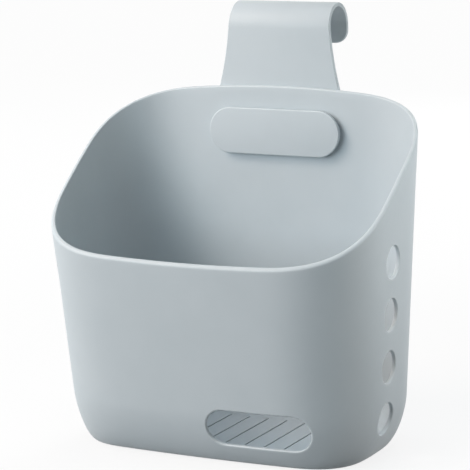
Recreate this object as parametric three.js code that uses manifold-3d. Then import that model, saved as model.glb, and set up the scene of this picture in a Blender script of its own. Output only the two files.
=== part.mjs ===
// A hanging storage basket in three pieces: a moulded tub with a sloping mouth, a hook strap that stands
// behind its back wall, and a lock plate inside the wall that holds the strap by two pegs.
// Millimetres, Z up, front towards -Y. The origin lies at foot level, midway between the front of the
// rim and the back of the hook.

import * as THREE from 'three';
import { mergeVertices } from 'three/addons/utils/BufferGeometryUtils.js';
import Module from 'manifold-3d';

// Fits
const GAP = 0.3; // clearance between pieces that touch
const TUB_MIDDLE_Y = -23.16; // the tub's plan is centred this far ahead of the origin

// Tub, outside. Reaches are measured from the middle of the plan, at the base and at the top level.
const TOP_LEVEL = 232.2; // height of the rim at the rear corners
const HALF_WIDTH = { base: 110.6, top: 120 };
const FRONT_REACH = { base: 49.4, top: 80.7 };
const BACK_REACH = { base: 80.2, top: 81.5 };
// Corner of the plan: power 2 is a true arc, a higher one is squarer. The foot's corner is tighter by tuck.
const FRONT_CORNER = { radius: 63.2, power: 2.85, tuck: 27.9 };
const BACK_CORNER = { radius: 57.4, power: 2.49, tuck: 10.2 };
const FRONT_BOW = 4.3; // how far the middle of the front wall swells forward
const SIDE_BOW = 3.7; // how far the middle of each side wall swells outward
// The side walls flare out a little towards the rim. The flare fades between two places along the depth,
// where 0 is the middle and 1 the back.
const RIM_FLARE = { size: 0.75, reach: 45, fadeFrom: 0.3, fadeTo: 0.75 };
const BOTTOM_ROUND = { height: 35.3, side: 13.3, front: 12.1, back: 12.3, power: 1.68 };
const WALL = 2.8;

// Sloping rim
const FRONT_RIM = 138; // height of the slope at the front reach
const RIM_EASE = 0.42; // share of the slope that eases in and out as an S
const RIM_SWELL = 1.5; // rise of the slope at its middle
const REAR_CROWN = 9.4; // rise of the rim in the middle of the back wall
const FRONT_DIP = 3.3; // dip of the rim in the middle of the front wall
const RIM_ROUND = { outer: 1.7, inner: 0.7 };

// Floor with its foot ring and drain slits
const FLOOR_TOP = 7;
const FOOT = { height: 4.2, width: 6 };
const SLIT = { pitch: 14.6, width: 1.3, length: 68.6, pairs: 5, middleY: 10.8 };

// Vents in the right wall and window in the front wall
const VENT = { radius: 11.3, y: 2.4, lowest: 28.7, pitch: 35.85, count: 4 };
const WINDOW = { width: 73.9, height: 25.1, x: 45.95, z: 26.85 };

// Lock plate on the inner face of the back wall, softened more at its back, and the pegs that reach into it
const LOCK = { width: 100.6, height: 32.9, thickness: 5.6, z: 208.7, edge: 0.7, backEdge: 3.2 };
const PEG = { radius: 6, halfSpacing: 30, engagement: 3.9, clearance: 0.35 };

// Hook strap: a wide base behind the wall, sides that narrow upward, a half-round bend where the sheet
// thins, and a short lip
const STRAP = { thickness: 4, halfWidth: 38.7, edge: 0.5 };
const BASE = { bottom: 186, top: 222, halfWidth: 51.5, corner: 16 };
const FLARE = { top: 293.4, power: 1.86 };
const HOOK = { outerRadius: 18.3, top: 299.5, thinnedBy: 0.45 }; // thinned by this share of the bend
const LIP = { end: 269.2, corner: 9.3, thickness: 2.9 };

// Fineness of the facets
const CORNER_STEPS = 11;
const FRONT_STEPS = 6;
const SIDE_STEPS = 3;
const BOTTOM_STEPS = 7;
const WALL_STEPS = 4;
const FLARE_STEPS = 8;
const BEND_STEPS = 20;
const ROUND_STEPS = 5;
const EDGE_STEPS = 2;
const RIM_STEPS = 3;
const SLIT_END_STEPS = 4;
const STADIUM_END_STEPS = 16;
const BEVEL_STEPS = 3;
const CYLINDER_SIDES = 32;

const COLOUR = 0xc5cdd1;
const ROUGHNESS = 0.5;

const wasm = await Module();
wasm.setup();

const mix = (from, to, share) => from + (to - from) * share;
const clamp = (value) => Math.min(1, Math.max(0, value));
const eased = (value, low, high) => {
  const share = clamp((value - low) / (high - low));
  return share * share * (3 - 2 * share);
};
const steps = (count) => Array.from({ length: count + 1 }, (_, i) => i / count);
const between = (count) => steps(count).slice(1, -1);

// A closed geometry becomes a solid.
function solidOf(geometry) {
  const bare = geometry.clone();
  bare.deleteAttribute('normal');
  bare.deleteAttribute('uv');
  const merged = mergeVertices(bare);
  return new wasm.Manifold(new wasm.Mesh({
    numProp: 3,
    vertProperties: merged.getAttribute('position').array,
    triVerts: new Uint32Array(merged.getIndex().array),
  }));
}

// A finished solid becomes a named mesh with its own material.
function meshOf(solid, name) {
  const { vertProperties, triVerts } = solid.getMesh();
  const geometry = new THREE.BufferGeometry();
  geometry.setAttribute('position', new THREE.BufferAttribute(vertProperties, 3));
  geometry.setIndex(new THREE.BufferAttribute(triVerts, 1));
  geometry.computeVertexNormals();
  const material = new THREE.MeshStandardMaterial({ color: COLOUR, roughness: ROUGHNESS, metalness: 0 });
  const mesh = new THREE.Mesh(geometry, material);
  mesh.name = name;
  return mesh;
}

// Skins a row of equal rings and closes both ends with a fan around a centre point.
function skin(rings, startCentre, endCentre) {
  const size = rings[0].length;
  const points = [startCentre, ...rings.flat(), endCentre];
  const at = (ring, place) => 1 + ring * size + (place % size);
  const lastRing = rings.length - 1;
  const index = [];
  for (let i = 0; i < size; i += 1) {
    index.push(0, at(0, i + 1), at(0, i));
    for (let ring = 0; ring < lastRing; ring += 1) {
      index.push(at(ring, i), at(ring, i + 1), at(ring + 1, i + 1));
      index.push(at(ring, i), at(ring + 1, i + 1), at(ring + 1, i));
    }
    index.push(at(lastRing, i), at(lastRing, i + 1), points.length - 1);
  }
  const geometry = new THREE.BufferGeometry().setFromPoints(points);
  geometry.setIndex(index);
  return geometry;
}

// A stadium outline, long along X.
function stadium(length, width) {
  const radius = width / 2;
  const reach = length / 2 - radius;
  const shape = new THREE.Shape();
  shape.absarc(reach, 0, radius, -Math.PI / 2, Math.PI / 2, false);
  shape.absarc(-reach, 0, radius, Math.PI / 2, Math.PI * 1.5, false);
  return shape;
}

// A round bar along Y, from one Y to another.
function barAlongY(radius, x, z, fromY, toY) {
  const bar = new THREE.CylinderGeometry(radius, radius, Math.abs(toY - fromY), CYLINDER_SIDES);
  return solidOf(bar.translate(x, (fromY + toY) / 2, z));
}

// Places around the tub's plan, counterclockwise from above, starting at the right end of the rear
// right corner. Each holds shares: of the way out to a corner's centre, and of the corner's radius.
function planPlaces() {
  const turn = (power) => steps(CORNER_STEPS).map((share) => {
    const angle = share * Math.PI / 2;
    return [Math.cos(angle) ** (2 / power), Math.sin(angle) ** (2 / power)];
  });
  const back = turn(BACK_CORNER.power);
  const front = turn(FRONT_CORNER.power);
  const rearCorner = (side) => ([x, y]) => ({ out: side, round: side * x, rear: 1, rearRound: y });
  const frontCorner = (side) => ([x, y]) => ({ out: side, round: side * x, rear: 0, frontRound: y });
  const rearWall = (share) => ({ out: 1 - 2 * share, round: 0, rear: 1, rearRound: 1 });
  const frontWall = (share) => ({ out: 2 * share - 1, round: 0, rear: 0, frontRound: 1 });
  const sideWall = (side, rear) => ({ out: side, round: side, rear });
  return [
    ...back.map(rearCorner(1)),
    ...between(FRONT_STEPS).map(rearWall),
    ...back.toReversed().map(rearCorner(-1)),
    ...between(SIDE_STEPS).map((share) => sideWall(-1, 1 - share)),
    ...front.map(frontCorner(-1)),
    ...between(FRONT_STEPS).map(frontWall),
    ...front.toReversed().map(frontCorner(1)),
    ...between(SIDE_STEPS).map((share) => sideWall(1, share)),
  ];
}

const PLACES = planPlaces();

// Where a place lies at a level. Tuck is the share of the bottom round's inset, inset goes inward from
// the outer skin, and flare outward at the sides.
function planPoint(place, level, tuck, inset, flare = 0) {
  const share = level / TOP_LEVEL;
  const width = mix(HALF_WIDTH.base, HALF_WIDTH.top, share) - BOTTOM_ROUND.side * tuck - inset;
  const front = mix(FRONT_REACH.base, FRONT_REACH.top, share) - BOTTOM_ROUND.front * tuck - inset;
  const back = mix(BACK_REACH.base, BACK_REACH.top, share) - BOTTOM_ROUND.back * tuck - inset;
  const frontRadius = FRONT_CORNER.radius - FRONT_CORNER.tuck * tuck - inset;
  const backRadius = BACK_CORNER.radius - BACK_CORNER.tuck * tuck - inset;
  const radius = place.rear > 0.5 ? backRadius : frontRadius;
  const x = place.out * (width - radius) + place.round * radius;
  const y = mix(frontRadius - front, back - backRadius, place.rear)
    + backRadius * (place.rearRound ?? 0) - frontRadius * (place.frontRound ?? 0);
  const across = x / width;
  const along = (2 * y - back + front) / (back + front);
  const flared = flare * (1 - eased(along, RIM_FLARE.fadeFrom, RIM_FLARE.fadeTo));
  const bowX = across * (SIDE_BOW * (1 - along * along) + flared);
  const bowY = FRONT_BOW * Math.min(0, along) * (1 - across * across);
  return new THREE.Vector3(x + bowX, y + bowY, level);
}

// Height of the sloping mouth above a point of the plan.
function rimHeight({ x, y }) {
  const rear = clamp((y + FRONT_REACH.top) / (FRONT_REACH.top + BACK_REACH.top));
  const slope = mix(rear, eased(rear, 0, 1), RIM_EASE);
  const middle = 1 - (x / HALF_WIDTH.top) ** 2;
  const crown = REAR_CROWN * rear ** 2 - FRONT_DIP * (1 - rear) ** 2;
  const swell = RIM_SWELL * 4 * rear * (1 - rear);
  return mix(FRONT_RIM, TOP_LEVEL, slope) + swell + middle * crown;
}

// Where a wall skin meets the mouth: the height settles within a few rounds, as the walls are steep.
function rimLevel(place, inset) {
  const rounds = 12;
  let level = TOP_LEVEL;
  for (let i = 0; i < rounds; i += 1) {
    level = rimHeight(planPoint(place, level, 0, inset, RIM_FLARE.size));
  }
  return level;
}

const ringAt = (pointOf) => PLACES.map(pointOf);

// The rings of one wall skin from its floor level up to where the round of the rim starts.
function wallRings(floor, inset, rimRound) {
  const height = BOTTOM_ROUND.height - floor;
  const bend = 2 / BOTTOM_ROUND.power;
  const bottom = steps(BOTTOM_STEPS).map((share) => {
    const angle = share * Math.PI / 2;
    const level = floor + height * (1 - Math.cos(angle) ** bend);
    const tuck = 1 - Math.sin(angle) ** bend;
    return ringAt((place) => planPoint(place, level, tuck, inset));
  });
  const upright = steps(WALL_STEPS).slice(1).map((share) => ringAt((place) => {
    const top = rimLevel(place, inset) - rimRound;
    const level = mix(BOTTOM_ROUND.height, top, share);
    const flare = RIM_FLARE.size * eased(level, top - RIM_FLARE.reach, top);
    return planPoint(place, level, 0, inset, flare);
  }));
  return [...bottom, ...upright];
}

// The rounded rim, from just above the outer skin to just above the inner one.
function rimRings() {
  const quarter = (radius) => steps(RIM_STEPS).slice(1).map((share) => {
    const angle = share * Math.PI / 2;
    return [radius * (1 - Math.cos(angle)), radius * (1 - Math.sin(angle))];
  });
  const inner = quarter(RIM_ROUND.inner).map(([inset, drop]) => [WALL - inset, drop]);
  const section = [...quarter(RIM_ROUND.outer), ...inner.toReversed()];
  return section.map(([inset, drop]) => ringAt((place) => {
    return planPoint(place, rimLevel(place, inset) - drop, 0, inset, RIM_FLARE.size);
  }));
}

function tubShell() {
  const footInside = (level) => ringAt((place) => planPoint(place, 0, 1, FOOT.width).setZ(level));
  const rings = [
    footInside(FOOT.height),
    footInside(0),
    ...wallRings(0, 0, RIM_ROUND.outer),
    ...rimRings(),
    ...wallRings(FLOOR_TOP, WALL, RIM_ROUND.inner).toReversed(),
  ];
  const underside = new THREE.Vector3(0, SLIT.middleY, FOOT.height);
  const floor = new THREE.Vector3(0, SLIT.middleY, FLOOR_TOP);
  return solidOf(skin(rings, underside, floor));
}

function drainSlits() {
  const cutter = new THREE.ExtrudeGeometry(stadium(SLIT.length, SLIT.width), {
    depth: 2 * FLOOR_TOP,
    bevelEnabled: false,
    curveSegments: SLIT_END_STEPS,
  });
  cutter.rotateZ(Math.PI / 2).translate(0, SLIT.middleY, 0);
  const slits = [];
  for (let i = 0; i < 2 * SLIT.pairs; i += 1) {
    const x = (i + 0.5 - SLIT.pairs) * SLIT.pitch;
    slits.push(solidOf(cutter.clone().translate(x, 0, 0)));
  }
  return slits;
}

function ventHoles() {
  const cutter = new THREE.CylinderGeometry(VENT.radius, VENT.radius, HALF_WIDTH.top, CYLINDER_SIDES);
  cutter.rotateZ(Math.PI / 2).translate(HALF_WIDTH.top, VENT.y, VENT.lowest);
  const holes = [];
  for (let i = 0; i < VENT.count; i += 1) {
    holes.push(solidOf(cutter.clone().translate(0, 0, i * VENT.pitch)));
  }
  return holes;
}

function frontWindow() {
  const cutter = new THREE.ExtrudeGeometry(stadium(WINDOW.width, WINDOW.height), {
    depth: FRONT_REACH.top,
    bevelEnabled: false,
    curveSegments: STADIUM_END_STEPS,
  });
  cutter.rotateX(Math.PI / 2).translate(WINDOW.x, -FRONT_REACH.base / 2, WINDOW.z);
  return solidOf(cutter);
}

const wallBack = (level) => mix(BACK_REACH.base, BACK_REACH.top, level / TOP_LEVEL);
const LOCK_BACK = wallBack(LOCK.z - LOCK.height / 2) - WALL - GAP;
const STRAP_FRONT = wallBack(TOP_LEVEL + REAR_CROWN) + GAP;
const PEG_SIDES = [-1, 1];

function basketTub() {
  const pegHoles = PEG_SIDES.map((side) => {
    const radius = PEG.radius + PEG.clearance;
    return barAlongY(radius, side * PEG.halfSpacing, LOCK.z, LOCK_BACK, STRAP_FRONT + GAP);
  });
  const cuts = [...drainSlits(), ...ventHoles(), frontWindow(), ...pegHoles];
  return cuts.reduce((tub, cut) => tub.subtract(cut), tubShell());
}

// A stadium plate with both faces softened alike, and its back face at a Y.
function softPlate(edge, thickness, backY) {
  const plate = new THREE.ExtrudeGeometry(stadium(LOCK.width, LOCK.height), {
    depth: thickness - 2 * edge,
    bevelThickness: edge,
    bevelSize: edge,
    bevelOffset: -edge,
    bevelSegments: BEVEL_STEPS,
    curveSegments: STADIUM_END_STEPS,
  });
  return solidOf(plate.rotateX(Math.PI / 2).translate(0, backY - edge, LOCK.z));
}

// The plate is what two deeper ones share: one gives the front edge, the other the back edge.
function lockPlate() {
  const deeper = 2 * LOCK.thickness;
  const frontSoft = softPlate(LOCK.edge, deeper, LOCK_BACK + LOCK.thickness);
  const backSoft = softPlate(LOCK.backEdge, deeper, LOCK_BACK);
  const plate = frontSoft.intersect(backSoft);
  const sockets = PEG_SIDES.map((side) => {
    const radius = PEG.radius + PEG.clearance;
    const bottom = LOCK_BACK - PEG.engagement - GAP;
    return barAlongY(radius, side * PEG.halfSpacing, LOCK.z, bottom, LOCK_BACK + GAP);
  });
  return sockets.reduce((solid, socket) => solid.subtract(socket), plate);
}

// The strap's outer face, followed by its developed length: up the back of the tub, over the bend
// and down the lip.
const BEND_LEVEL = HOOK.top - HOOK.outerRadius;
const BEND_Y = STRAP_FRONT + HOOK.outerRadius;
const LEG_LENGTH = BEND_LEVEL - BASE.bottom;
const BEND_LENGTH = Math.PI * HOOK.outerRadius;
const SHEET_LENGTH = LEG_LENGTH + BEND_LENGTH + BEND_LEVEL - LIP.end;

// The sheet's thickness, and a point a depth below its outer face.
function thicknessAt(length) {
  const bent = clamp((length - LEG_LENGTH) / BEND_LENGTH / HOOK.thinnedBy);
  return mix(STRAP.thickness, LIP.thickness, eased(bent, 0, 1));
}

function sheetAt(length, x, depth) {
  const angle = clamp((length - LEG_LENGTH) / BEND_LENGTH) * Math.PI;
  const rise = Math.min(0, length - LEG_LENGTH, LEG_LENGTH + BEND_LENGTH - length);
  const radius = HOOK.outerRadius - depth;
  const z = BEND_LEVEL + rise + radius * Math.sin(angle);
  return new THREE.Vector3(x, BEND_Y - radius * Math.cos(angle), z);
}

const arcInset = (radius, distance) => {
  const short = Math.max(0, radius - distance);
  return radius - Math.sqrt(radius * radius - short * short);
};

function halfWidthAt(length) {
  const spread = clamp((FLARE.top - BASE.bottom - length) / (FLARE.top - BASE.top));
  const full = mix(STRAP.halfWidth, BASE.halfWidth, spread ** FLARE.power);
  return full - arcInset(BASE.corner, length) - arcInset(LIP.corner, SHEET_LENGTH - length);
}

// One rounded section across the sheet. The ends are thinned a little, so that they look rounded too.
function sheetRing(length) {
  const toEnd = Math.min(length, SHEET_LENGTH - length);
  const thin = arcInset(STRAP.edge, toEnd) / 2;
  const middle = thicknessAt(length) / 2;
  const halfThickness = middle - thin - STRAP.edge;
  const halfWidth = halfWidthAt(length) - STRAP.edge;
  const corners = [[1, -1], [-1, -1], [-1, 1], [1, 1]];
  const ring = [];
  corners.forEach(([sideX, sideOut], quarter) => {
    for (const share of steps(EDGE_STEPS)) {
      const angle = (quarter + share) * Math.PI / 2;
      const x = sideX * halfWidth + STRAP.edge * Math.cos(angle);
      const out = sideOut * halfThickness - STRAP.edge * Math.sin(angle);
      ring.push(sheetAt(length, x, middle - out));
    }
  });
  return ring;
}

function hookStrap() {
  const roundFrom = (radius) => steps(ROUND_STEPS).map((share) => {
    return radius * (1 - Math.cos(share * Math.PI / 2));
  });
  const baseTop = BASE.top - BASE.bottom;
  const lengths = [
    ...roundFrom(BASE.corner),
    ...steps(FLARE_STEPS).map((share) => mix(baseTop, LEG_LENGTH, share)),
    ...steps(BEND_STEPS).slice(1).map((share) => LEG_LENGTH + share * BEND_LENGTH),
    ...roundFrom(LIP.corner).toReversed().map((short) => SHEET_LENGTH - short),
  ];
  const endCentre = (length) => sheetAt(length, 0, thicknessAt(length) / 2);
  const sheet = solidOf(skin(lengths.map(sheetRing), endCentre(0), endCentre(SHEET_LENGTH)));
  const pegs = PEG_SIDES.map((side) => {
    const tip = LOCK_BACK - PEG.engagement;
    return barAlongY(PEG.radius, side * PEG.halfSpacing, LOCK.z, tip, STRAP_FRONT + STRAP.edge);
  });
  return pegs.reduce((strap, peg) => strap.add(peg), sheet);
}

const basket = new THREE.Group();
basket.position.y = TUB_MIDDLE_Y;
basket.add(meshOf(basketTub(), 'basket_tub'));
basket.add(meshOf(hookStrap(), 'hook_strap'));
basket.add(meshOf(lockPlate(), 'lock_plate'));

export default basket;
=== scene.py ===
"""A hanging storage basket in three satin plastic pieces: a moulded tub with a sloping mouth, a hook strap
that stands behind its back wall, and a lock plate inside the wall that holds the strap by two pegs."""
import math
from typing import NamedTuple

import bmesh
import bpy
from mathutils import Matrix, Vector
from mathutils.bvhtree import BVHTree


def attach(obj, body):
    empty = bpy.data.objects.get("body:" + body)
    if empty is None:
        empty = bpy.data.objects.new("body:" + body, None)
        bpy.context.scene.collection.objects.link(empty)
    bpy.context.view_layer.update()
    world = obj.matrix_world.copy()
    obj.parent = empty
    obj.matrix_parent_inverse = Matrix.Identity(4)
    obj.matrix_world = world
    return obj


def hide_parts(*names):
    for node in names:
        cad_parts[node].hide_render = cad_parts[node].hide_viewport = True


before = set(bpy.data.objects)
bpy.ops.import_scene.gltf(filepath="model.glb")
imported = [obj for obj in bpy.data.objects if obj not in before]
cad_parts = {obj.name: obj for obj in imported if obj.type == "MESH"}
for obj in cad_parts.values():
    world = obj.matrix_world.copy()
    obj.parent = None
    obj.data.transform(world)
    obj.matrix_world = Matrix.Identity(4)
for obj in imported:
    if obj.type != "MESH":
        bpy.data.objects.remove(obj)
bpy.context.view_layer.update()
scene = bpy.context.scene

# Sizes are in millimetres, in the tub's own plan, whose middle lies ahead of the frame's origin
MM = 0.001
TUB_MIDDLE_Y = -23.16
GAP = 0.3  # clearance between pieces

# Tub, outside: reaches from the middle of the plan, at the base and at the top level
TOP_LEVEL = 232.2
HALF_WIDTH = (110.6, 120.0)
FRONT_REACH = (49.4, 80.7)
BACK_REACH = (80.2, 81.5)
FRONT_BOW = 4.3
SIDE_BOW = 3.7
WALL = 2.8

# Corners of the plan: radius, power of the squarish turn, and what the bottom round takes off the radius
FRONT_CORNER, FRONT_POWER, FRONT_TUCK = 63.2, 2.85, 27.9
BACK_CORNER, BACK_POWER, BACK_TUCK = 57.4, 2.49, 10.2

# Bottom round: height, power of its turn, and how far it draws in each wall
ROUND_HEIGHT, ROUND_POWER = 35.3, 1.68
ROUND_SIDE, ROUND_FRONT, ROUND_BACK = 13.3, 12.1, 12.3

# Sloping rim, its rounded edges, and the flare of the side walls below it, which fades towards the rear
FRONT_RIM = 138.0
RIM_EASE = 0.42
RIM_SWELL = 1.5
REAR_CROWN = 9.4
FRONT_DIP = 3.3
RIM_OUTER, RIM_INNER = 1.7, 0.7
RIM_FLARE, RIM_FLARE_REACH = 0.75, 45.0
RIM_FLARE_FADE = (0.3, 0.75)

# Floor, foot ring and drain slits
FLOOR_TOP = 7.0
FOOT_HEIGHT, FOOT_WIDTH, FOOT_EDGE = 4.2, 6.0, 0.5
SLIT_PITCH, SLIT_WIDTH, SLIT_LENGTH = 14.6, 1.3, 68.6
SLIT_PAIRS = 5
SLIT_MIDDLE_Y = 10.8

# Vents in the right wall and window in the front wall
VENT_RADIUS, VENT_Y = 11.3, 2.4
VENT_LOWEST, VENT_PITCH, VENT_COUNT = 28.7, 35.85, 4
WINDOW_WIDTH, WINDOW_HEIGHT = 73.9, 25.1
WINDOW_X, WINDOW_Z = 45.95, 26.85
VENT_EDGE, WINDOW_EDGE, PEG_HOLE_EDGE = 0.6, 1.15, 0.4

# Lock plate and pegs
LOCK_WIDTH, LOCK_HEIGHT, LOCK_THICKNESS = 100.6, 32.9, 5.6
LOCK_Z = 208.7
LOCK_EDGE, LOCK_BACK_EDGE = 0.7, 3.2
PEG_RADIUS, PEG_TIP = 6.0, 0.8
PEG_PLACES = (-30.0, 30.0)
PEG_ENGAGEMENT, PEG_CLEARANCE = 3.9, 0.35

# Hook strap: it narrows from its base to the bend, and thins in the first part of the bend
STRAP_THICKNESS, STRAP_HALF_WIDTH, STRAP_EDGE = 4.0, 38.7, 0.5
BASE_BOTTOM, BASE_TOP = 186.0, 222.0
BASE_HALF_WIDTH, BASE_CORNER = 51.5, 16.0
NARROWED_AT, NARROWING_POWER = 293.4, 1.86
HOOK_RADIUS, HOOK_TOP = 18.3, 299.5
LIP_END, LIP_CORNER, LIP_THICKNESS = 269.2, 9.3, 2.9
THINNED_BY = 0.45

# Fineness of the meshes: steps along walls and round turns, sides of loops, and steps over softened edges
FRONT_TURNS, BACK_TURNS = 36, 30
FRONT_STEPS, BACK_STEPS, SIDE_STEPS = 40, 40, 14
ROUND_STEPS, WALL_STEPS, RIM_STEPS = 16, 48, 5
LEG_STEPS, BEND_STEPS, STRAP_CORNER_STEPS = 14, 32, 14
SLIT_SIDES, PEG_SIDES, LOCK_SIDES = 16, 48, 128
HOLE_EDGE_STEPS, FOOT_EDGE_STEPS, STRAP_EDGE_STEPS = 4, 2, 3
PEG_TIP_STEPS, LOCK_EDGE_STEPS, LOCK_BACK_STEPS = 3, 5, 3

# Faces round an opening in a wall
OPENING_MARGIN = 3.0  # the wall's own faces end this far outside the outline
SUPPORT = 1.6  # a loop this far outside supports the softened edge
SETTLE_ROUNDS = 300
LEAST_STEP, EVENED = 0.45, 0.7  # shares of an even step along the outline
OUTSIDE = 400.0  # further out than any wall

# Rounds that settle the rim's level, and limits that tell edges, faces and points apart
RIM_ROUNDS = 12
ON_AXIS = 0.01  # share of a loop's radius
SAME_POINT = 0.001
SHARP_EDGE = 1.0  # radians between two faces
LOOKS_ALONG = 0.99  # share of a normal that lies along an axis
SMOOTH_ANGLE = 40.0  # degrees between two faces

# Satin plastic: colours, the middle range of a noise, and for each noise its scale per metre and its detail
PLASTIC_TONE = (0.571, 0.622, 0.650)
PLASTIC_SHADE = (0.548, 0.601, 0.629)
# The paler edge colour is a painted highlight on tightly rounded edges
PAINTED_EDGE_HIGHLIGHT = (0.62, 0.67, 0.695)
NOISE_MIDDLE = (0.3, 0.7)
TONE_DRIFT = (26.0, 3.0)
SHEEN_DRIFT = (340.0, 2.0)
GRAIN = (2600.0, 2.0)
ROUGHNESS = (0.44, 0.52)
GRAIN_STRENGTH, GRAIN_DEPTH = 0.25, 0.00006
SPECULAR_LEVEL = 0.4

# Painted highlight and polish of tightly rounded edges: where they start and are full, how patchy they are,
# and what the polish takes off the roughness
HIGHLIGHT_AND_POLISH_TURN = (0.15, 0.6)  # radians of turn per millimetre
LEAST_APART = 0.05
HIGHLIGHT_AND_POLISH_PATCHES = (150.0, 3.0)
HIGHLIGHT_AND_POLISH_SHARE = (0.6, 1.0)
EDGE_POLISH = 0.13

# Camera, in degrees and millimetres
CAMERA_AZIMUTH, CAMERA_ELEVATION, CAMERA_ROLL = 26.071, 10.102, -0.662
CAMERA_TARGET = (4.525, TUB_MIDDLE_Y, 147.015)
CAMERA_DISTANCE = 1452.02
CAMERA_CLIP = (50.0, 50000.0)
SENSOR_WIDTH, LENS = 36.0, 162.885

# Studio, in metres: an even fill, and a floor that glows more further off and not at all inside the foot
WHITE = (1.0, 1.0, 1.0)
FILL = (0.03, 0.03, 0.03)
FLOOR_TONE, FLOOR_BOUNCE = 0.85, 0.25
FLOOR_HALF_WIDTH, FLOOR_CELLS = 6.0, 8
FLOOR_DROP = 0.0003
GLOW_REACH, FLOOR_GLOW = (0.2, 0.9), (0.82, 0.975)
FOOT_MIDDLE, FOOT_REACH = (0.0, -0.010, 0.0), (0.075, 0.042, 1.0)
FOOT_FADE = (0.95, 1.05)  # shares of that reach

# Lamps: the point they face, and the distance and size of far and near ones
LAMP_AIM = (0.0, 0.0, 0.15)
FAR_LAMP = (2.0, 1.0)
NEAR_LAMP = (0.42, 0.2)


class Lamp(NamedTuple):
    """A square soft lamp, placed by azimuth and elevation in degrees: 0 is the front and 90 the right."""
    name: str
    azimuth: float
    elevation: float
    distance: float
    size: float
    watts: float
    colour: tuple
    in_gloss: bool = True


LAMPS = (
    Lamp("key", -50, 40, *FAR_LAMP, 24.8, (1.0, 0.88, 0.8)),
    Lamp("key_low", -50, 15, *FAR_LAMP, 6.6, (1.0, 0.94, 0.95)),
    Lamp("front_low", -20, 15, *FAR_LAMP, 16.5, (0.82, 0.94, 1.0)),
    Lamp("left_low", -105, 15, *FAR_LAMP, 9.8, (0.72, 0.92, 1.0), in_gloss=False),
    Lamp("top", 0, 88, *FAR_LAMP, 9.5, (0.86, 0.93, 1.0)),
    Lamp("right_near", 90, 10, *NEAR_LAMP, 0.46, (0.96, 1.0, 0.98)),
    Lamp("right_rear_near", 110, 10, *NEAR_LAMP, 0.16, (1.0, 0.9, 1.0)),
    Lamp("right_high_near", 110, 30, *NEAR_LAMP, 0.15, (0.8, 1.0, 0.95)),
    Lamp("rear", 180, 15, *FAR_LAMP, 15.0, WHITE, in_gloss=False),
    Lamp("rear_left", -165, 30, *FAR_LAMP, 7.5, WHITE, in_gloss=False),
)


def mix(low, high, share):
    return low + (high - low) * share


def clamp(value):
    return min(1.0, max(0.0, value))


def share_of(value, low, high):
    """How far a value has come from a low to a high one, from 0 to 1."""
    return clamp((value - low) / (high - low))


def eased(value, low, high):
    """0 up to the low value, 1 from the high one, with a smooth rise between them."""
    share = share_of(value, low, high)
    return share**2 * (3 - 2 * share)


def shares(count):
    """Even shares from 0 to 1."""
    return [step / count for step in range(count + 1)]


def between(count):
    """Even shares between 0 and 1, without these two."""
    return shares(count)[1:-1]


def only(kind, elements):
    """Those of a mesh's elements that are of one kind."""
    return [element for element in elements if isinstance(element, kind)]


def wall_back(level):
    """How far back the outer face of the back wall stands at a level."""
    return mix(*BACK_REACH, level / TOP_LEVEL)


# Places that follow from the sizes
LOCK_BACK = wall_back(LOCK_Z - LOCK_HEIGHT / 2) - WALL - GAP
STRAP_FRONT = wall_back(TOP_LEVEL + REAR_CROWN) + GAP
BEND_LEVEL = HOOK_TOP - HOOK_RADIUS
LEG_LENGTH = BEND_LEVEL - BASE_BOTTOM
BEND_LENGTH = math.pi * HOOK_RADIUS
SHEET_LENGTH = LEG_LENGTH + BEND_LENGTH + BEND_LEVEL - LIP_END


class Place(NamedTuple):
    """A station round the tub's plan: shares of the way to a corner's centre and of its radius."""
    out: float
    round_x: float
    rear: float
    rear_round: float = 0.0
    front_round: float = 0.0


def corner_shares(count, power):
    """Even angles round a squarish quarter turn, as shares of its radius."""
    points = []
    for share in shares(count):
        cos, sin = math.cos(share * math.pi / 2), math.sin(share * math.pi / 2)
        reach = (cos**power + sin**power) ** (-1 / power)
        points.append((cos * reach, sin * reach))
    return points


def plan_places():
    """Stations round the plan, counterclockwise from above, from the rear right corner."""
    back = corner_shares(BACK_TURNS, BACK_POWER)
    front = corner_shares(FRONT_TURNS, FRONT_POWER)
    places = [Place(1, x, 1, rear_round=y) for x, y in back]
    places += [Place(1 - 2 * share, 0, 1, rear_round=1) for share in between(BACK_STEPS)]
    places += [Place(-1, -x, 1, rear_round=y) for x, y in reversed(back)]
    places += [Place(-1, -1, 1 - share) for share in between(SIDE_STEPS)]
    places += [Place(-1, -x, 0, front_round=y) for x, y in front]
    places += [Place(2 * share - 1, 0, 0, front_round=1) for share in between(FRONT_STEPS)]
    places += [Place(1, x, 0, front_round=y) for x, y in reversed(front)]
    places += [Place(1, 1, share) for share in between(SIDE_STEPS)]
    return places


PLACES = plan_places()


def plan_point(place, level, tuck, inset, flare=0.0):
    """A station at a level. Tuck is the share of the bottom round, inset goes in from the outer skin, and
    flare moves the side walls out."""
    share = level / TOP_LEVEL
    width = mix(*HALF_WIDTH, share) - ROUND_SIDE * tuck - inset
    front = mix(*FRONT_REACH, share) - ROUND_FRONT * tuck - inset
    back = mix(*BACK_REACH, share) - ROUND_BACK * tuck - inset
    front_radius = FRONT_CORNER - FRONT_TUCK * tuck - inset
    back_radius = BACK_CORNER - BACK_TUCK * tuck - inset
    radius = back_radius if place.rear > 0.5 else front_radius
    x = place.out * (width - radius) + place.round_x * radius
    y = mix(front_radius - front, back - back_radius, place.rear)
    y += back_radius * place.rear_round - front_radius * place.front_round
    across = x / width
    along = (2 * y - back + front) / (back + front)
    x += across * (SIDE_BOW * (1 - along**2) + flare * (1 - eased(along, *RIM_FLARE_FADE)))
    y += FRONT_BOW * min(0.0, along) * (1 - across**2)
    return Vector((x, y, level))


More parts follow.
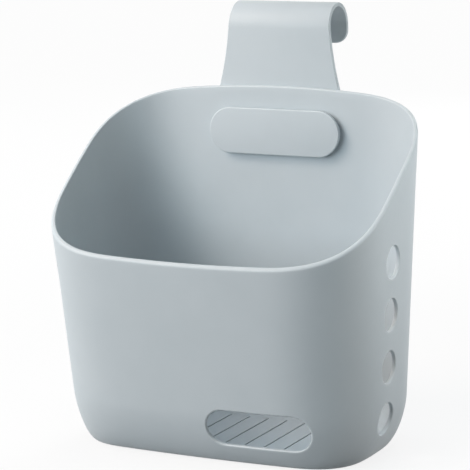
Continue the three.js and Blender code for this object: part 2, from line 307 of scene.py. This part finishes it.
def rim_height(x, y):
    """Height of the sloping mouth above a point of the plan."""
    rear = share_of(y, -FRONT_REACH[1], BACK_REACH[1])
    slope = mix(rear, eased(rear, 0, 1), RIM_EASE)
    middle = 1 - (x / HALF_WIDTH[1]) ** 2
    crown = REAR_CROWN * rear**2 - FRONT_DIP * (1 - rear) ** 2
    swell = RIM_SWELL * 4 * rear * (1 - rear)
    return mix(FRONT_RIM, TOP_LEVEL, slope) + swell + middle * crown


def rim_level(place, inset):
    """Where a skin meets the mouth: the walls are steep, so a few rounds settle it."""
    level = TOP_LEVEL
    for _ in range(RIM_ROUNDS):
        point = plan_point(place, level, 0, inset, RIM_FLARE)
        level = rim_height(point.x, point.y)
    return level


def wall_rings(floor, inset, rim_round):
    """Rings of one skin, from its floor through the bottom round to where the round of the rim starts."""
    rings = []
    bend = 2 / ROUND_POWER
    for share in shares(ROUND_STEPS):
        angle = share * math.pi / 2
        level = floor + (ROUND_HEIGHT - floor) * (1 - max(0.0, math.cos(angle)) ** bend)
        tuck = 1 - math.sin(angle) ** bend
        rings.append([plan_point(place, level, tuck, inset) for place in PLACES])
    tops = [rim_level(place, inset) - rim_round for place in PLACES]
    for share in shares(WALL_STEPS)[1:]:
        ring = []
        for place, top in zip(PLACES, tops):
            level = mix(ROUND_HEIGHT, top, share)
            flare = RIM_FLARE * eased(level, top - RIM_FLARE_REACH, top)
            ring.append(plan_point(place, level, 0, inset, flare))
        rings.append(ring)
    return rings


def edge_round(radius):
    """A quarter round over the rim's edge, from the wall to the top, as insets and drops."""
    angles = [share * math.pi / 2 for share in shares(RIM_STEPS)]
    return [(radius * (1 - math.cos(angle)), radius * (1 - math.sin(angle))) for angle in angles]


def rim_rings():
    """Rings over the rounded rim, between the tops of the two skins."""
    outer = edge_round(RIM_OUTER)
    inner = [(WALL - inset, drop) for inset, drop in reversed(edge_round(RIM_INNER))]
    rings = []
    for inset, drop in [*outer, *inner][1:-1]:
        ring = [plan_point(place, rim_level(place, inset) - drop, 0, inset, RIM_FLARE) for place in PLACES]
        rings.append(ring)
    return rings


def pull_ring(mesh, edges, points, row):
    """Extrudes a ring of edges on to the next ring of points and marks the new faces with their row."""
    place_of = mesh.verts.layers.int["place"]
    row_of = mesh.faces.layers.int["row"]
    made = bmesh.ops.extrude_edge_only(mesh, edges=edges)["geom"]
    verts = set(only(bmesh.types.BMVert, made))
    for vert in verts:
        vert.co = points[vert[place_of]]
    ring = [edge for edge in only(bmesh.types.BMEdge, made) if verts.issuperset(edge.verts)]
    for edge in ring:
        for face in edge.link_faces:
            face[row_of] = row
    return ring


def long_loop(mesh, matrix, reach, radius, sides):
    """A loop of edges, round or long along its own X, set in place by a matrix."""
    verts = bmesh.ops.create_circle(mesh, segments=sides, radius=radius)["verts"]
    for vert in verts:
        if abs(vert.co.x) > radius * ON_AXIS:
            vert.co.x += math.copysign(reach, vert.co.x)
    bmesh.ops.transform(mesh, matrix=matrix, verts=verts)
    return list(dict.fromkeys(edge for vert in verts for edge in vert.link_edges))


def facing_front(x, y, z):
    """Stands a level loop upright, so that its own Y is the frame's Z."""
    return Matrix.Translation((x, y, z)) @ Matrix.Rotation(math.pi / 2, 4, "X")


def peg_loops(mesh, y, radius):
    """A round upright loop for each of the two pegs."""
    return [long_loop(mesh, facing_front(x, y, LOCK_Z), 0.0, radius, PEG_SIDES) for x in PEG_PLACES]


def draw_out(mesh, edges, travel):
    """Extrudes a loop straight along a travel and closes its end. Gives the edges of the end."""
    made = bmesh.ops.extrude_edge_only(mesh, edges=edges)["geom"]
    verts = only(bmesh.types.BMVert, made)
    bmesh.ops.translate(mesh, verts=verts, vec=travel)
    ends = set(verts)
    rim = [edge for edge in only(bmesh.types.BMEdge, made) if ends.issuperset(edge.verts)]
    bmesh.ops.contextual_create(mesh, geom=rim)
    return rim


def soften(mesh, parts, width, steps, affect="EDGES"):
    """Rounds edges, or the corners of a sheet, over a width."""
    bmesh.ops.bevel(
        mesh, geom=parts, offset=width, offset_type="OFFSET", segments=steps, profile=0.5,
        affect=affect, material=-1, clamp_overlap=True,
    )


class Opening(NamedTuple):
    """A round or long hole through one wall, seen square on to it."""
    side: Vector
    middle: Vector
    reach: float
    radius: float
    edge: float

    def across(self):
        """The level way along the wall."""
        return Vector((0, 0, 1)).cross(self.side)

    def flat(self, point):
        """A point as seen square on to the wall, from the middle of the hole."""
        offset = point - self.middle
        return offset.dot(self.across()), offset.z

    def gap(self, point):
        """How far outside the outline a point lies."""
        u, v = self.flat(point)
        return math.hypot(max(0.0, abs(u) - self.reach), v) - self.radius

    def meets(self, face):
        """Whether a face of its wall comes close to the outline or lies inside it."""
        if face.calc_center_median().dot(self.side) < 0:
            return False
        return min(self.gap(vert.co) for vert in face.verts) < OPENING_MARGIN

    def length(self):
        """The length of the whole outline."""
        return 2 * math.pi * self.radius + 4 * self.reach

    def travel(self, point):
        """How far along the outline a point lies, from the foot of its right end."""
        u, v = self.flat(point)
        half = math.pi * self.radius
        if u >= self.reach:
            return (math.atan2(v, u - self.reach) + math.pi / 2) * self.radius
        if u <= -self.reach:
            turn = math.atan2(v, u + self.reach) % (2 * math.pi) - math.pi / 2
            return half + 2 * self.reach + turn * self.radius
        return half + self.reach - u if v > 0 else 2 * half + 3 * self.reach + u

    def apart(self, travel, other):
        """How far one travel lies after another, the short way round the outline."""
        length = self.length()
        return (travel - other + length / 2) % length - length / 2

    def at(self, travel, spread):
        """The point at a travel along the outline, spread outward from it."""
        half = math.pi * self.radius
        travel %= self.length()
        radius = self.radius + spread
        if travel < half:
            angle = travel / self.radius - math.pi / 2
            u, v = self.reach + radius * math.cos(angle), radius * math.sin(angle)
        elif travel < half + 2 * self.reach:
            u, v = half + self.reach - travel, radius
        elif travel < 2 * half + 2 * self.reach:
            angle = (travel - half - 2 * self.reach) / self.radius + math.pi / 2
            u, v = radius * math.cos(angle) - self.reach, radius * math.sin(angle)
        else:
            u, v = travel - 2 * half - 3 * self.reach, -radius
        return self.middle + self.across() * u + Vector((0, 0, v))


def station_of(face, place_of):
    """The first of the two stations that a wall face lies between."""
    places = sorted({vert[place_of] for vert in face.verts})
    return places[-1] if places[-1] - places[0] > 1 else places[0]


def wall_cells(mesh):
    """The faces of the outer skin, under 1, and of the inner skin, under -1, by row and station."""
    place_of = mesh.verts.layers.int["place"]
    row_of = mesh.faces.layers.int["row"]
    skins = {1: {}, -1: {}}
    for face in mesh.faces:
        row = face[row_of]
        if row:
            skins[int(math.copysign(1, row))][abs(row), station_of(face, place_of)] = face
    return skins


def walk(edges):
    """The vertices of a closed loop of edges, in order."""
    order = list(edges[0].verts)
    left = set(edges[1:])
    while left:
        edge = next(edge for edge in order[-1].link_edges if edge in left)
        left.remove(edge)
        order.append(edge.other_vert(order[-1]))
    return order[:-1]


def in_step(opening, edges):
    """The vertices of a loop round an opening, the way its travel grows."""
    order = walk(edges)
    travels = [opening.travel(vert.co) for vert in order]
    if sum(opening.apart(b, a) for a, b in zip(travels, travels[1:])) < 0:
        order.reverse()
    return order


def settled(opening, verts):
    """Travels for a loop of vertices, pushed apart until each comes well after the one before it."""
    step = opening.length() / len(verts)
    first = opening.travel(verts[0].co)
    travels = []
    for i, vert in enumerate(verts):
        travels.append(i * step + opening.apart(opening.travel(vert.co), first + i * step))
    for _ in range(SETTLE_ROUNDS):
        for i in range(len(travels)):
            before = travels[i - 1] if i else travels[-1] - opening.length()
            push = max(0.0, LEAST_STEP * step - (travels[i] - before)) / 2
            travels[i] += push
            travels[i - 1] -= push
    return [first + travel for travel in travels]


def evened(opening, travels):
    """The same travels, drawn most of the way to even steps."""
    step = opening.length() / len(travels)
    first = sum(travel - i * step for i, travel in enumerate(travels)) / len(travels)
    return [mix(travel, first + i * step, EVENED) for i, travel in enumerate(travels)]


def nearest_turn(opening, verts, travels):
    """The same loop, started at the vertex that fits a row of travels best."""
    present = [opening.travel(vert.co) for vert in verts]

    def misfit(first):
        turned = present[first:] + present[:first]
        return sum(abs(opening.apart(own, wanted)) for own, wanted in zip(turned, travels))

    first = min(range(len(verts)), key=misfit)
    return verts[first:] + verts[:first]


def lay(verts, tree, opening, travels, spread, skin):
    """Lays a loop round an opening on one of the skins, spread outward from the outline."""
    for vert, travel in zip(verts, travels):
        point = opening.at(travel, spread)
        point += opening.side * ((OUTSIDE if skin > 0 else 0.0) - point.dot(opening.side))
        vert.co = tree.ray_cast(point, opening.side * -skin)[0]


def open_wall(mesh, skins, tree, opening):
    """Cuts one opening: takes out cells of both skins, lays the vertices around on a loop, draws it in to
    the outline in two steps, and joins the two outlines. Gives the edges of both."""
    cells = [key for key in skins[1] if any(opening.meets(faces[key]) for faces in skins.values())]
    outlines = []
    travels = None
    for skin in skins:
        faces = [skins[skin].pop(key) for key in cells]
        taken = set(faces)
        edges = [edge for face in faces for edge in face.edges]
        edges = [edge for edge in edges if len(taken.intersection(edge.link_faces)) == 1]
        bmesh.ops.delete(mesh, geom=faces, context="FACES")
        verts = in_step(opening, edges)
        if travels is None:
            travels = settled(opening, verts)
        lay(nearest_turn(opening, verts, travels), tree, opening, travels, OPENING_MARGIN, skin)
        for spread in (SUPPORT, 0.0):
            made = bmesh.ops.extrude_edge_only(mesh, edges=edges)["geom"]
            ends = set(only(bmesh.types.BMVert, made))
            edges = [edge for edge in only(bmesh.types.BMEdge, made) if ends.issuperset(edge.verts)]
            even = evened(opening, travels)
            verts = nearest_turn(opening, in_step(opening, edges), travels if spread else even)
            lay(verts, tree, opening, even, spread, skin)
        outlines += edges
    bmesh.ops.bridge_loops(mesh, edges=outlines)
    return outlines


def tub_openings():
    """The vents, the window and the two peg holes."""
    right, front, back = Vector((1, 0, 0)), Vector((0, -1, 0)), Vector((0, 1, 0))
    openings = []
    for i in range(VENT_COUNT):
        middle = Vector((0, VENT_Y, VENT_LOWEST + i * VENT_PITCH))
        openings.append(Opening(right, middle, 0.0, VENT_RADIUS, VENT_EDGE))
    reach = (WINDOW_WIDTH - WINDOW_HEIGHT) / 2
    openings.append(Opening(front, Vector((WINDOW_X, 0, WINDOW_Z)), reach, WINDOW_HEIGHT / 2, WINDOW_EDGE))
    for x in PEG_PLACES:
        openings.append(Opening(back, Vector((x, 0, LOCK_Z)), 0.0, PEG_RADIUS + PEG_CLEARANCE, PEG_HOLE_EDGE))
    return openings


def tub_skin(mesh):
    """Pulls the tub's skin from the underside over the foot ring, up the outside, round the rim and down the
    inside. Gives the edges of the underside, of the foot ring's inside and of the floor."""
    place_of = mesh.verts.layers.int.new("place")
    mesh.faces.layers.int.new("row")
    foot = [plan_point(place, 0, 1, FOOT_WIDTH) for place in PLACES]
    lift = Vector((0, 0, FOOT_HEIGHT))
    start = bmesh.ops.create_circle(mesh, segments=len(PLACES), radius=1.0)["verts"]
    for place, vert in enumerate(start):
        vert[place_of] = place
        vert.co = foot[place] + lift
    underside = mesh.edges[:]

    foot_inside = pull_ring(mesh, underside, foot, 0)
    outer = wall_rings(0.0, 0.0, RIM_OUTER)
    ring = pull_ring(mesh, foot_inside, outer[0], 0)
    for row, points in enumerate(outer[1:], 1):
        ring = pull_ring(mesh, ring, points, row)
    inner = wall_rings(FLOOR_TOP, WALL, RIM_INNER)
    for points in [*rim_rings(), inner[-1]]:
        ring = pull_ring(mesh, ring, points, 0)
    for row in range(len(inner) - 1, 0, -1):
        ring = pull_ring(mesh, ring, inner[row - 1], -row)
    return underside, foot_inside, ring


def close_floor(mesh, underside, floor):
    """Fills the underside and the floor around the drain slits, and joins the two loops of each slit."""
    levels = {FOOT_HEIGHT: list(underside), FLOOR_TOP: list(floor)}
    slits = []
    for i in range(2 * SLIT_PAIRS):
        x = (i + 0.5 - SLIT_PAIRS) * SLIT_PITCH
        pair = []
        for level, edges in levels.items():
            matrix = Matrix.Translation((x, SLIT_MIDDLE_Y, level)) @ Matrix.Rotation(math.pi / 2, 4, "Z")
            loop = long_loop(mesh, matrix, (SLIT_LENGTH - SLIT_WIDTH) / 2, SLIT_WIDTH / 2, SLIT_SIDES)
            edges += loop
            pair += loop
        slits.append(pair)
    for edges in levels.values():
        bmesh.ops.triangle_fill(mesh, edges=edges, use_beauty=True, normal=(0, 0, 1))
    for pair in slits:
        bmesh.ops.bridge_loops(mesh, edges=pair)


def basket_tub():
    """The moulded tub: its skin, then its openings and floor, and last their softened edges."""
    mesh = bmesh.new()
    underside, foot_inside, floor = tub_skin(mesh)
    tree = BVHTree.FromBMesh(mesh)
    skins = wall_cells(mesh)
    holes = [(open_wall(mesh, skins, tree, opening), opening.edge) for opening in tub_openings()]
    close_floor(mesh, underside, floor)
    for edges, width in holes:
        soften(mesh, edges, width, HOLE_EDGE_STEPS)
    soften(mesh, foot_inside, FOOT_EDGE, FOOT_EDGE_STEPS)
    return mesh


def strap_half_width(length):
    """Half the strap's width at a developed length from its lower end."""
    spread = clamp((NARROWED_AT - BASE_BOTTOM - length) / (NARROWED_AT - BASE_TOP))
    return mix(STRAP_HALF_WIDTH, BASE_HALF_WIDTH, spread**NARROWING_POWER)


def flat_strap():
    """The strap's sheet before it is bent, along Y, with its four corners rounded."""
    mesh = bmesh.new()
    leg = [mix(BASE_TOP - BASE_BOTTOM, LEG_LENGTH, share) for share in shares(LEG_STEPS)]
    bend = [LEG_LENGTH + share * BEND_LENGTH for share in shares(BEND_STEPS)[1:]]
    lengths = [0.0, *leg, *bend, SHEET_LENGTH]
    rows = len(lengths) - 1
    verts = bmesh.ops.create_grid(mesh, x_segments=1, y_segments=rows, size=1.0)["verts"]
    for vert in verts:
        length = lengths[round((vert.co.y + 1) / 2 * rows)]
        vert.co = Vector((math.copysign(strap_half_width(length), vert.co.x), length, 0))
    for length, radius in ((0.0, BASE_CORNER), (SHEET_LENGTH, LIP_CORNER)):
        corners = [vert for vert in mesh.verts if abs(vert.co.y - length) < SAME_POINT]
        soften(mesh, corners, radius, STRAP_CORNER_STEPS, affect="VERTICES")
    return mesh


def bent(length):
    """Y and Z of the strap's outer face at a developed length: up the leg, over the bend, down the lip."""
    angle = clamp((length - LEG_LENGTH) / BEND_LENGTH) * math.pi
    rise = min(0.0, length - LEG_LENGTH, LEG_LENGTH + BEND_LENGTH - length)
    y = STRAP_FRONT + HOOK_RADIUS * (1 - math.cos(angle))
    return y, BEND_LEVEL + rise + HOOK_RADIUS * math.sin(angle)


def thin_hook(mesh):
    """Draws the inner face of the bend and the lip outward: the sheet thins on its way over."""
    axis_y = STRAP_FRONT + HOOK_RADIUS
    for vert in mesh.verts:
        back, up = vert.co.y - axis_y, max(0.0, vert.co.z - BEND_LEVEL)
        radius = math.hypot(back, up)
        on_leg = up == 0.0 and back < 0.0
        if on_leg or radius > HOOK_RADIUS - LIP_THICKNESS / 2:
            continue
        turned = math.atan2(up, -back) / math.pi
        thickness = mix(STRAP_THICKNESS, LIP_THICKNESS, eased(turned, 0.0, THINNED_BY))
        grow = (HOOK_RADIUS - thickness) / radius - 1
        vert.co += Vector((0, back * grow, up * grow))


def add_pegs(mesh):
    """Draws two pegs forward out of the flat front face of the strap's base."""
    flat = [face for face in mesh.faces if face.normal.y < -LOOKS_ALONG]
    low = [face for face in flat if face.calc_center_median().z < BASE_TOP]
    front = max(low, key=lambda face: face.calc_area())
    outline = list(front.edges)
    bmesh.ops.delete(mesh, geom=[front], context="FACES_ONLY")
    roots = peg_loops(mesh, STRAP_FRONT, PEG_RADIUS)
    edges = outline + roots[0] + roots[1]
    bmesh.ops.triangle_fill(mesh, edges=edges, use_beauty=True, normal=(0, -1, 0))
    travel = Vector((0, LOCK_BACK - PEG_ENGAGEMENT - STRAP_FRONT, 0))
    tips = [edge for root in roots for edge in draw_out(mesh, root, travel)]
    soften(mesh, tips, PEG_TIP, PEG_TIP_STEPS)


def hook_strap():
    """The strap, bent from a flat sheet and given its thickness, with two pegs on its base."""
    mesh = flat_strap()
    for vert in mesh.verts:
        y, z = bent(vert.co.y)
        vert.co = Vector((vert.co.x, y, z))
    bmesh.ops.recalc_face_normals(mesh, faces=mesh.faces)
    if mesh.faces[:][0].normal.y > 0:
        bmesh.ops.reverse_faces(mesh, faces=mesh.faces)
    bmesh.ops.solidify(mesh, geom=mesh.faces[:], thickness=-STRAP_THICKNESS)
    bmesh.ops.recalc_face_normals(mesh, faces=mesh.faces)
    thin_hook(mesh)
    sharp = [edge for edge in mesh.edges if edge.calc_face_angle(0.0) > SHARP_EDGE]
    soften(mesh, sharp, STRAP_EDGE, STRAP_EDGE_STEPS)
    add_pegs(mesh)
    return mesh


def lock_plate():
    """The long round-ended plate, with two blind sockets in its back."""
    mesh = bmesh.new()
    reach = (LOCK_WIDTH - LOCK_HEIGHT) / 2
    back = long_loop(mesh, facing_front(0, LOCK_BACK, LOCK_Z), reach, LOCK_HEIGHT / 2, LOCK_SIDES)
    sockets = peg_loops(mesh, LOCK_BACK, PEG_RADIUS + PEG_CLEARANCE)
    edges = back + sockets[0] + sockets[1]
    bmesh.ops.triangle_fill(mesh, edges=edges, use_beauty=True, normal=(0, 1, 0))
    front = draw_out(mesh, back, Vector((0, -LOCK_THICKNESS, 0)))
    for socket in sockets:
        draw_out(mesh, socket, Vector((0, -PEG_ENGAGEMENT - GAP, 0)))
    soften(mesh, front, LOCK_EDGE, LOCK_EDGE_STEPS)
    soften(mesh, back, LOCK_BACK_EDGE, LOCK_BACK_STEPS)
    return mesh


def mark_edge_highlight_and_polish(mesh):
    """Marks the faces of tightly rounded outer edges, where the material paints a highlight in a paler colour
    and lowers the roughness.
    """
    edge_highlight_and_polish = mesh.faces.layers.float.new("edge_highlight_and_polish")
    middles = {face: face.calc_center_median() for face in mesh.faces}
    for face, middle in middles.items():
        turns = [0.0]
        for edge in face.edges:
            for other in edge.link_faces:
                if other is not face:
                    apart = max((middles[other] - middle).length, LEAST_APART)
                    turns.append(edge.calc_face_angle_signed() / apart)
        face[edge_highlight_and_polish] = share_of(max(turns), *HIGHLIGHT_AND_POLISH_TURN)


def show(mesh, name):
    """Moves a finished mesh from the tub's plan to the frame, in metres, and puts it in the scene."""
    bmesh.ops.recalc_face_normals(mesh, faces=mesh.faces)
    # Marks tightly rounded edges for a painted highlight and a lower roughness
    mark_edge_highlight_and_polish(mesh)
    to_frame = Matrix.Scale(MM, 4) @ Matrix.Translation((0, TUB_MIDDLE_Y, 0))
    bmesh.ops.transform(mesh, matrix=to_frame, verts=mesh.verts)
    data = bpy.data.meshes.new(name)
    mesh.to_mesh(data)
    mesh.free()
    data.polygons.foreach_set("use_smooth", [True] * len(data.polygons))
    data.set_sharp_from_angle(angle=math.radians(SMOOTH_ANGLE))
    piece = bpy.data.objects.new(name, data)
    scene.collection.objects.link(piece)
    return piece


def feed(tree, node, inputs):
    """Sets a node's inputs, by name or number: a socket is linked and a value is written."""
    for key, value in inputs.items():
        if isinstance(value, bpy.types.NodeSocket):
            tree.links.new(value, node.inputs[key])
        else:
            node.inputs[key].default_value = value


def add_node(tree, kind, inputs, **settings):
    """A new shader node with its settings and inputs."""
    node = tree.nodes.new("ShaderNode" + kind)
    for setting, value in settings.items():
        setattr(node, setting, value)
    feed(tree, node, inputs)
    return node


def calculated(tree, operation, *values):
    """The result of a math node."""
    return add_node(tree, "Math", dict(enumerate(values)), operation=operation).outputs["Value"]


def remapped(tree, value, source, target=(0.0, 1.0), **settings):
    """A value taken from one range to another."""
    inputs = {"Value": value, "From Min": source[0], "From Max": source[1]}
    inputs |= {"To Min": target[0], "To Max": target[1]}
    return add_node(tree, "MapRange", inputs, **settings).outputs["Result"]


def noise(tree, coords, scale, detail):
    """An uneven value from 0 to 1 in space."""
    return add_node(tree, "TexNoise", {"Vector": coords, "Scale": scale, "Detail": detail}).outputs["Fac"]


def satin_plastic(name):
    """Pale blue-grey moulded plastic: a fine spark-eroded grain, slow drifts of tone and sheen, and tightly
    rounded outer edges that carry a painted highlight in a paler colour and are smoother."""
    material = bpy.data.materials.new(name)
    material.use_nodes = True
    tree = material.node_tree
    coords = add_node(tree, "TexCoord", {}).outputs["Object"]

    tone = add_node(tree, "ValToRGB", {"Fac": noise(tree, coords, *TONE_DRIFT)})
    stops = zip(tone.color_ramp.elements, NOISE_MIDDLE, (PLASTIC_SHADE, PLASTIC_TONE))
    for element, position, colour in stops:
        element.position = position
        element.color = (*colour, 1)
    # On tightly rounded edges a paler colour is mixed in as a painted highlight, and the roughness drops
    marked = add_node(tree, "Attribute", {}, attribute_name="edge_highlight_and_polish").outputs["Fac"]
    patches = remapped(tree, noise(tree, coords, *HIGHLIGHT_AND_POLISH_PATCHES), NOISE_MIDDLE, HIGHLIGHT_AND_POLISH_SHARE)
    highlight_and_polish = calculated(tree, "MULTIPLY", marked, patches)
    colours = {"Fac": highlight_and_polish, "Color1": tone.outputs["Color"], "Color2": (*PAINTED_EDGE_HIGHLIGHT, 1)}
    with_painted_highlight = add_node(tree, "MixRGB", colours).outputs["Color"]

    sheen = remapped(tree, noise(tree, coords, *SHEEN_DRIFT), NOISE_MIDDLE, ROUGHNESS)
    polished = calculated(tree, "MULTIPLY_ADD", highlight_and_polish, -EDGE_POLISH, sheen)
    relief = {"Strength": GRAIN_STRENGTH, "Distance": GRAIN_DEPTH, "Height": noise(tree, coords, *GRAIN)}
    grain = add_node(tree, "Bump", relief).outputs["Normal"]
    finish = {"Base Color": with_painted_highlight, "Roughness": polished, "Normal": grain}
    finish |= {"Specular IOR Level": SPECULAR_LEVEL}
    feed(tree, tree.nodes["Principled BSDF"], finish)
    return material


def away(azimuth, elevation):
    """The way out from the basket at an azimuth and elevation in degrees, 0 at the front, 90 at the right."""
    a, e = math.radians(azimuth), math.radians(elevation)
    return Vector((math.sin(a) * math.cos(e), -math.cos(a) * math.cos(e), math.sin(e)))


def photo_camera():
    """A long lens that looks down a little from the front right."""
    azimuth, roll = math.radians(CAMERA_AZIMUTH), math.radians(CAMERA_ROLL)
    back = away(CAMERA_AZIMUTH, CAMERA_ELEVATION)
    right = Vector((math.cos(azimuth), math.sin(azimuth), 0))
    up = back.cross(right)
    turned_right = right * math.cos(roll) + up * math.sin(roll)
    turned_up = up * math.cos(roll) - right * math.sin(roll)
    matrix = Matrix((turned_right, turned_up, back)).transposed().to_4x4()
    matrix.translation = Vector(CAMERA_TARGET) * MM + back * (CAMERA_DISTANCE * MM)
    camera = bpy.data.objects.new("camera", bpy.data.cameras.new("camera"))
    camera.data.sensor_width = SENSOR_WIDTH
    camera.data.lens = LENS
    camera.data.clip_start, camera.data.clip_end = (clip * MM for clip in CAMERA_CLIP)
    camera.matrix_world = matrix
    scene.collection.objects.link(camera)
    scene.camera = camera


def softbox(lamp):
    """Puts a lamp in the scene, facing the basket and unseen by the camera."""
    data = bpy.data.lights.new(lamp.name, "AREA")
    data.shape = "SQUARE"
    data.size = lamp.size
    data.energy = lamp.watts
    data.color = lamp.colour
    outward = away(lamp.azimuth, lamp.elevation)
    light = bpy.data.objects.new(lamp.name, data)
    light.location = Vector(LAMP_AIM) + outward * lamp.distance
    light.rotation_euler = outward.to_track_quat("Z", "Y").to_euler()
    light.visible_camera = False
    light.visible_glossy = lamp.in_gloss
    scene.collection.objects.link(light)


def backdrop_share(tree):
    """1 for rays that come straight from the camera or off gloss or through glass, else 0."""
    path = add_node(tree, "LightPath", {}).outputs
    share = path["Is Camera Ray"]
    for name in ("Is Glossy Ray", "Is Transmission Ray"):
        share = calculated(tree, "MAXIMUM", share, path[name])
    return share


def mixed_shader(tree, share, first, second):
    """A share of one shader in another."""
    inputs = {"Fac": share, 1: first.outputs[0], 2: second.outputs[0]}
    return add_node(tree, "MixShader", inputs)


def studio_world():
    """An even fill for the basket in front of plain white."""
    world = bpy.data.worlds.new("studio")
    scene.world = world
    world.use_nodes = True
    tree = world.node_tree
    soft = tree.nodes["Background"]
    feed(tree, soft, {"Color": (*FILL, 1)})
    white = add_node(tree, "Background", {"Color": (*WHITE, 1)})
    both = mixed_shader(tree, backdrop_share(tree), soft, white)
    feed(tree, tree.nodes["World Output"], {"Surface": both.outputs[0]})


def beside_foot(tree, coords):
    """0 on the floor inside the basket's foot and 1 beside it."""
    offset = coords
    steps = (("SUBTRACT", {1: FOOT_MIDDLE}), ("ABSOLUTE", {}), ("DIVIDE", {1: FOOT_REACH}))
    for operation, operands in steps:
        step = add_node(tree, "VectorMath", {0: offset, **operands}, operation=operation)
        offset = step.outputs["Vector"]
    parts = add_node(tree, "SeparateXYZ", {"Vector": offset}).outputs
    return remapped(tree, calculated(tree, "MAXIMUM", parts["X"], parts["Y"]), FOOT_FADE)


def floor_paper():
    """Paper that shows nearly white to the camera and whiter further off, takes the shadow near the basket,
    and throws little light back up."""
    material = bpy.data.materials.new("floor_paper")
    material.use_nodes = True
    tree = material.node_tree
    tree.nodes.remove(tree.nodes["Principled BSDF"])
    dim = add_node(tree, "BsdfDiffuse", {"Color": (*[FLOOR_BOUNCE] * 3, 1)})
    pale = add_node(tree, "BsdfDiffuse", {"Color": (*[FLOOR_TONE] * 3, 1)})
    glow = add_node(tree, "Emission", {})
    coords = add_node(tree, "TexCoord", {}).outputs["Object"]
    distance = add_node(tree, "VectorMath", {0: coords}, operation="LENGTH").outputs["Value"]
    brightness = remapped(tree, distance, GLOW_REACH, FLOOR_GLOW, interpolation_type="SMOOTHSTEP")
    share = calculated(tree, "MULTIPLY", brightness, beside_foot(tree, coords))
    shown = mixed_shader(tree, share, pale, glow)
    both = mixed_shader(tree, backdrop_share(tree), dim, shown)
    feed(tree, tree.nodes["Material Output"], {"Surface": both.outputs[0]})
    return material


def studio_floor():
    """A wide floor just under the basket's foot."""
    mesh = bmesh.new()
    bmesh.ops.create_grid(mesh, x_segments=FLOOR_CELLS, y_segments=FLOOR_CELLS, size=FLOOR_HALF_WIDTH)
    data = bpy.data.meshes.new("floor")
    mesh.to_mesh(data)
    mesh.free()
    data.materials.append(floor_paper())
    floor = bpy.data.objects.new("floor", data)
    floor.location.z = -FLOOR_DROP
    scene.collection.objects.link(floor)


for make, name, node, body, slot in (
    (basket_tub, "tub_moulding", "basket_tub", "tub", "tub_plastic"),
    (hook_strap, "hook_moulding", "hook_strap", "hook", "hook_plastic"),
    (lock_plate, "lock_moulding", "lock_plate", "lock", "lock_plastic"),
):
    piece = show(make(), name)
    piece.data.materials.append(satin_plastic(slot))
    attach(piece, body)
    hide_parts(node)

photo_camera()
studio_world()
for lamp in LAMPS:
    softbox(lamp)
studio_floor()

scene.view_settings.view_transform = "Standard"
